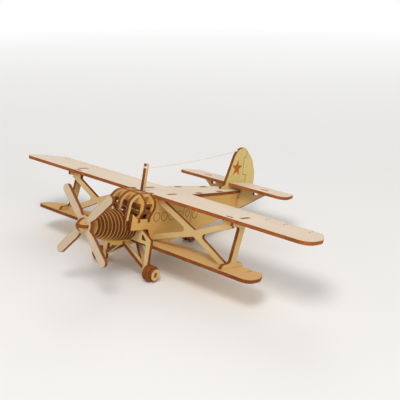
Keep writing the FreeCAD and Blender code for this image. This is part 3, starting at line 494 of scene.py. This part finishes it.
def rounded(a0, a1, b0, b1, radius, steps=6):
    route = []
    for ca, cb, start in ((a1 - radius, b1 - radius, 0), (a0 + radius, b1 - radius, 90),
                          (a0 + radius, b0 + radius, 180), (a1 - radius, b0 + radius, 270)):
        for i in range(steps + 1):
            turn = math.radians(start + 90 * i / steps)
            route.append((ca + radius * math.cos(turn), cb + radius * math.sin(turn)))
    return route


def divided(route, step=2.0):
    """The same open route with extra points, so that it can follow a curved side."""
    full = []
    for (a0, b0), (a1, b1) in zip(route, route[1:]):
        count = max(1, int(math.hypot(a1 - a0, b1 - b0) / step))
        full += [(a0 + (a1 - a0) * i / count, b0 + (b1 - b0) * i / count) for i in range(count)]
    return full + [route[-1]]


PORTHOLE_R = 3.4
PORTHOLE_Z = 5.8
PORTHOLES = [60.2, 68.7, 77.2, 85.9, 105.6]
DOOR = (90.8, 100.8, -2.0, 13.0)
DOOR_CORNER = 2.0
DOOR_WINDOW_R = 2.6
DOOR_WINDOW = ((DOOR[0] + DOOR[1]) / 2, PORTHOLE_Z + 1.2)


def side_engraving():
    for name, sign in (("port", 1), ("starboard", -1)):
        def surface(y, z, rise):
            return place(sign * (side_x(y) + rise), y, z)
        parts = [ribbon(circle(y, PORTHOLE_Z, PORTHOLE_R), surface, True) for y in PORTHOLES]
        parts.append(ribbon(rounded(*DOOR, DOOR_CORNER), surface, True))
        parts.append(ribbon(circle(*DOOR_WINDOW, DOOR_WINDOW_R), surface, True))
        points, faces = merge(parts)
        link("side_engraving_" + name, mesh_from("side_engraving_" + name, points, faces, False), LINE)


STAR_CENTRE = (167.5, 40.4)
STAR_R, STAR_WAIST = 7.6, 0.40
RUDDER_LINE = [(178.3, 55.6), (178.5, 50.2), (175.4, 50.0), (176.2, 46.0), (177.3, 34.7), (182.0, 34.7),
               (182.3, 28.3)]


def fin_engraving():
    star_material = star_burn()
    for name, sign in (("port", 1), ("starboard", -1)):
        def surface(y, z, rise):
            return place(sign * (PLY / 2 + rise), y, z)
        points, faces = ribbon(divided(RUDDER_LINE), surface, False)
        link("rudder_line_" + name, mesh_from("rudder_line_" + name, points, faces, False), LINE)
        outline = []
        for i in range(10):
            reach = STAR_R if i % 2 == 0 else STAR_R * STAR_WAIST
            turn = math.radians(90 + 36 * i)
            outline.append((STAR_CENTRE[0] + reach * math.cos(turn),
                            STAR_CENTRE[1] + reach * math.sin(turn)))
        count = len(outline)
        points = [surface(a, b, rise) for rise in (LINE_RISE, -LINE_RISE) for a, b in outline]
        points += [surface(*STAR_CENTRE, LINE_RISE), surface(*STAR_CENTRE, -LINE_RISE)]
        faces = [(i, (i + 1) % count, 2 * count) for i in range(count)]
        faces += [((i + 1) % count + count, i + count, 2 * count + 1) for i in range(count)]
        faces += [(i, i + count, (i + 1) % count + count, (i + 1) % count) for i in range(count)]
        link("star_" + name, mesh_from("star_" + name, points, faces, False), star_material)


# Pairs of burnt ticks across the hinge lines of flaps and ailerons.
# wing: top face z, y of the two ticks, x of the pairs
TICKS = {
    "upper_wing": (22.5, (87.3, 91.0), (90.7, 105.4, 125.9)),
    "lower_wing": (-12.3, (67.3, 70.1), (46.3, 96.0)),
}
TICK_LENGTH, TICK_WIDTH = 1.9, 0.95


def wing_ticks():
    for wing, (top_z, ys, xs) in TICKS.items():
        def surface(x, y, rise):
            return place(x, y, top_z + rise)
        ticks = [[(sign * x, y - TICK_LENGTH / 2), (sign * x, y + TICK_LENGTH / 2)]
                 for sign in (1, -1) for x in xs for y in ys]
        parts = [ribbon(tick, surface, False, TICK_WIDTH) for tick in ticks]
        link(wing + "_ticks", mesh_from(wing + "_ticks", *merge(parts), False), LINE)


side_engraving()
fin_engraving()
wing_ticks()

# ---------------------------------------------------------------- thread
THREAD_D = 0.9
THREAD_ROUTE = [(55.95, 40.3), (68.521, 41.351), (82.805, 42.758), (97.09, 44.391), (111.375, 46.25),
                (125.66, 48.335), (139.945, 50.645), (154.229, 53.181), (165.4, 55.35)]
STRANDS = 3
STRAND_R = 0.27
TWIST = 2.6
THREAD_STEP = 0.28
STRAND_SIDES = 7


def thread_centreline():
    curve = bpy.data.curves.new("thread_route", "CURVE")
    curve.dimensions = "3D"
    curve.resolution_u = 24
    spline = curve.splines.new("NURBS")
    spline.points.add(len(THREAD_ROUTE) - 1)
    for point, (y, z) in zip(spline.points, THREAD_ROUTE):
        point.co = (*place(0, y, z), 1)
    spline.order_u = 3
    spline.use_endpoint_u = True
    holder = bpy.data.objects.new("thread_route", curve)
    bpy.context.scene.collection.objects.link(holder)
    mesh = bpy.data.meshes.new_from_object(holder)
    points = [v.co.copy() for v in mesh.vertices]
    bpy.data.objects.remove(holder)
    bpy.data.meshes.remove(mesh)
    bpy.data.curves.remove(curve)
    return points


def resample(points, step):
    lengths = [0.0]
    for a, b in zip(points, points[1:]):
        lengths.append(lengths[-1] + (b - a).length)
    count = int(lengths[-1] / step)
    out, k = [], 0
    for i in range(count + 1):
        want = lengths[-1] * i / count
        while k + 2 < len(lengths) and lengths[k + 1] < want:
            k += 1
        share = (want - lengths[k]) / max(lengths[k + 1] - lengths[k], 1e-12)
        out.append(points[k].lerp(points[k + 1], share))
    return out, lengths[-1]


def make_thread():
    line, length = resample(thread_centreline(), THREAD_STEP * MM)
    parts = []
    orbit = (THREAD_D / 2 - STRAND_R) * MM
    for s in range(STRANDS):
        path = []
        for i, here in enumerate(line):
            heading = (line[min(i + 1, len(line) - 1)] - line[max(i - 1, 0)]).normalized()
            side = heading.cross(PORT).normalized()
            other = heading.cross(side)
            turn = 2 * math.pi * (s / STRANDS + i * THREAD_STEP / TWIST)
            path.append(here + (side * math.cos(turn) + other * math.sin(turn)) * orbit)
        parts.append(tube(path, STRAND_R * MM, sides=STRAND_SIDES))
    points, faces = merge(parts)
    material = cotton("cotton_thread")
    thread = link("aerial_thread", mesh_from("aerial_thread", points, faces), material)
    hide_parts("antenna_thread")
    knots = tie_thread(material)
    tuple(line[0])
    [tuple(p) for p in line[::6] + [line[-1]]]


MAST_Y, MAST_W = 53.3, 2.65
WRAP_R, WRAP_SIDES, WRAP_TURNS = 0.36, 9, 2
WRAP_Z, WRAP_CLIMB, WRAP_CORNER = 39.9, 0.72, 1.22
KNOT_R, KNOT_SIDES, KNOT_STEPS = 0.3, 8, 72
# name: centre and size
KNOTS = {
    "mast_knot": ((0, MAST_Y + MAST_W + 0.72, 40.4), 0.62),
    "fin_knot": ((0, 164.9, 55.25), 0.66),
}


def tie_thread(material):
    """Turns round the mast and a small knot on each end of the thread."""
    half_x, y0, y1 = PLY / 2 + WRAP_R, MAST_Y - WRAP_R, MAST_Y + MAST_W + WRAP_R
    steps = 28
    path = []
    for i in range(WRAP_TURNS * steps + 1):
        turn = 2 * math.pi * i / steps
        # a square path with round corners, climbing slowly
        c, s = math.cos(turn), math.sin(turn)
        reach = 1.0 / max(abs(c), abs(s))
        soft = min(reach, WRAP_CORNER)
        x = c * soft * half_x
        y = (y0 + y1) / 2 + s * soft * (y1 - y0) / 2
        path.append(place(x, y, WRAP_Z + WRAP_CLIMB * i / steps))
    wrap = mesh_from("mast_wrap", *tube(path, WRAP_R * MM, sides=WRAP_SIDES))
    pieces = [link("mast_wrap", wrap, material)]
    for name, (centre, size) in KNOTS.items():
        pieces.append(link(name, knot(name, centre, size), material))
    return pieces


def knot(name, centre, size):
    """Overhand knot: a trefoil tube."""
    path = []
    for i in range(KNOT_STEPS):
        t = 2 * math.pi * i / KNOT_STEPS
        x = (math.sin(t) + 2 * math.sin(2 * t)) / 3
        y = (math.cos(t) - 2 * math.cos(2 * t)) / 3
        z = -math.sin(3 * t) / 2.2
        path.append(place(centre[0] + x * size, centre[1] + z * size, centre[2] + y * size))
    return mesh_from(name, *tube(path, KNOT_R * MM, closed=True, sides=KNOT_SIDES))


make_thread()


# ---------------------------------------------------------------- studio
def background_rays(tree):
    """1 for rays that should see the plain white background, 0 for rays that light the object."""
    rays = tree.nodes.new("ShaderNodeLightPath")
    total = rays.outputs["Is Camera Ray"]
    for output in ("Is Glossy Ray", "Is Transmission Ray"):
        add = tree.nodes.new("ShaderNodeMath")
        add.operation = "ADD"
        add.use_clamp = True
        tree.links.new(total, add.inputs[0])
        tree.links.new(rays.outputs[output], add.inputs[1])
        total = add.outputs[0]
    return total


FLOOR_HALF = 8.0
FLOOR_FADE = (0.3, 1.3)       # where the floor starts to fade and where it is all white


def make_floor():
    corners = [(x * FLOOR_HALF, y * FLOOR_HALF, 0) for x, y in ((-1, -1), (1, -1), (1, 1), (-1, 1))]
    mesh = mesh_from("floor", corners, [(0, 1, 2, 3)], False)
    n = Nodes("floor")
    tex = n.tree.nodes.new("ShaderNodeTexCoord")
    tint = n.noise(tex.outputs["Object"], 3.0, 2.0)
    colour = n.mix(n.span(tint, 0.3, 0.7), (0.86, 0.865, 0.87, 1), (0.88, 0.88, 0.88, 1))
    n.put(n.shader.inputs["Base Color"], colour)
    n.shader.inputs["Roughness"].default_value = 0.9
    n.shader.inputs["Specular IOR Level"].default_value = 0.1
    # far from the object the floor fades into the white background
    distance = n.vector("LENGTH", tex.outputs["Object"], (0, 0, 0), "Value")
    fade = n.math("MULTIPLY", n.span(distance, *FLOOR_FADE), background_rays(n.tree))
    glow = n.tree.nodes.new("ShaderNodeEmission")
    blend = n.tree.nodes.new("ShaderNodeMixShader")
    n.put(blend.inputs[0], fade)
    n.put(blend.inputs[1], n.shader.outputs[0])
    n.put(blend.inputs[2], glow.outputs[0])
    n.put(n.tree.nodes["Material Output"].inputs["Surface"], blend.outputs[0])
    mesh.materials.append(n.material)
    floor = bpy.data.objects.new("floor", mesh)
    bpy.context.scene.collection.objects.link(floor)


# name: place, size, power and colour
LAMPS = {
    "key": ((0.25, -0.55, 1.15), 0.55, 6.5, (1.0, 0.98, 0.96)),
    "fill": ((1.2, -0.35, 0.5), 0.9, 4.0, (1.0, 0.97, 0.93)),
    "back": ((-0.6, 0.9, 0.9), 0.8, 3.0, (1.0, 1.0, 1.0)),
}
LAMP_AIM = (0, 0, 0.04)
SKY, SKY_STRENGTH = (1.0, 0.98, 0.95, 1), 0.5


def lamp(name, location, size, power, colour):
    data = bpy.data.lights.new(name, "AREA")
    data.shape = "DISK"
    data.size = size
    data.energy = power
    data.color = colour
    obj = bpy.data.objects.new(name, data)
    obj.location = location
    heading = Vector(LAMP_AIM) - Vector(location)
    obj.rotation_euler = heading.to_track_quat("-Z", "Y").to_euler()
    bpy.context.scene.collection.objects.link(obj)


def make_studio():
    scene = bpy.context.scene
    scene.view_settings.view_transform = "Standard"
    world = bpy.data.worlds.new("studio")
    scene.world = world
    world.use_nodes = True
    tree = world.node_tree
    tree.nodes.clear()
    soft = tree.nodes.new("ShaderNodeBackground")
    soft.inputs["Color"].default_value = SKY
    soft.inputs["Strength"].default_value = SKY_STRENGTH
    white = tree.nodes.new("ShaderNodeBackground")
    white.inputs["Color"].default_value = (1, 1, 1, 1)
    mix = tree.nodes.new("ShaderNodeMixShader")
    out = tree.nodes.new("ShaderNodeOutputWorld")
    tree.links.new(background_rays(tree), mix.inputs[0])
    tree.links.new(soft.outputs[0], mix.inputs[1])
    tree.links.new(white.outputs[0], mix.inputs[2])
    tree.links.new(mix.outputs[0], out.inputs[0])
    for name, where in LAMPS.items():
        lamp(name, *where)


make_floor()
make_studio()
